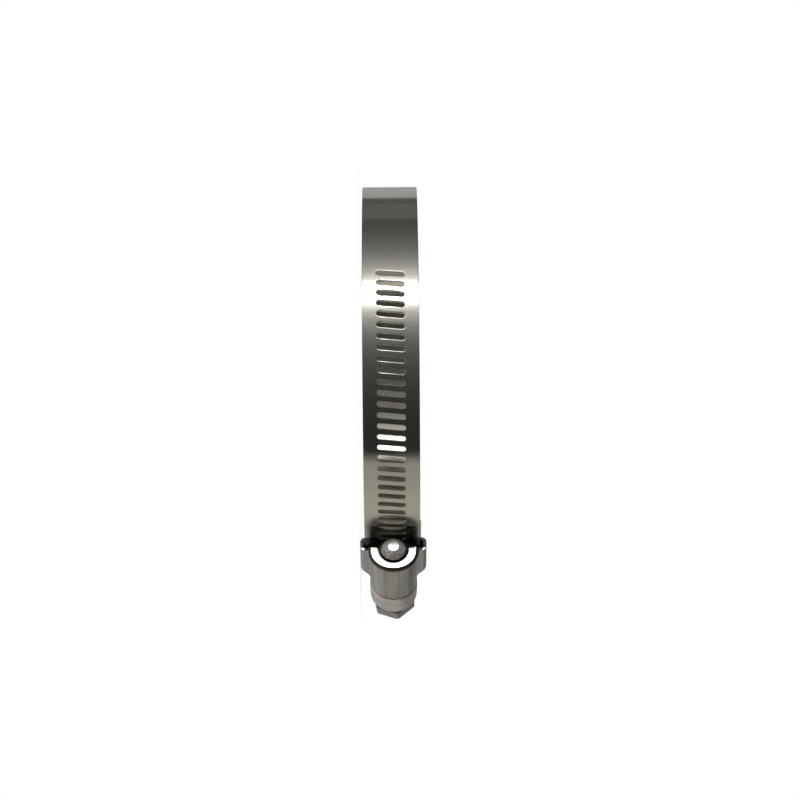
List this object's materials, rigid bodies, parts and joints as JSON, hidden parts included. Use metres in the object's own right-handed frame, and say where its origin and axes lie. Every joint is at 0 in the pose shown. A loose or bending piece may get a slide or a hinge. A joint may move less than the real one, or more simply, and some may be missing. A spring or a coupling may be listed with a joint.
{
  "type": "worm-drive hose clamp",
  "caption": "Ring of punched steel band closed by a worm screw in a formed housing, which tightens round a hose, duct or pipe end.",
  "frame": {"origin": "middle of the bounding box's bottom face, with the ring lying flat", "axes": "+Z is the ring's axis and points up, +X points from the ring's middle to the housing, and +Y runs along the screw to its hex head"},
  "size_m": [0.1218, 0.1092, 0.0191],
  "materials": {
    "polished_stainless": "rolled and polished, with faint lengthwise lines",
    "formed_stainless": "smooth, satin to bright",
    "turned_steel": "turned and bright"
  },
  "bodies": {
    "clamp": {"band": "polished_stainless", "housing": "formed_stainless"},
    "screw": {"worm_screw": "turned_steel"}
  },
  "joints": [
    {"name": "screw_turn", "type": "hinge", "parent": "clamp", "child": "screw", "pos_m": [0.05409, 0.00046, 0.00955], "axis": [0, -1, 0], "continuous": true, "deforming": ["band"]}
  ]
}
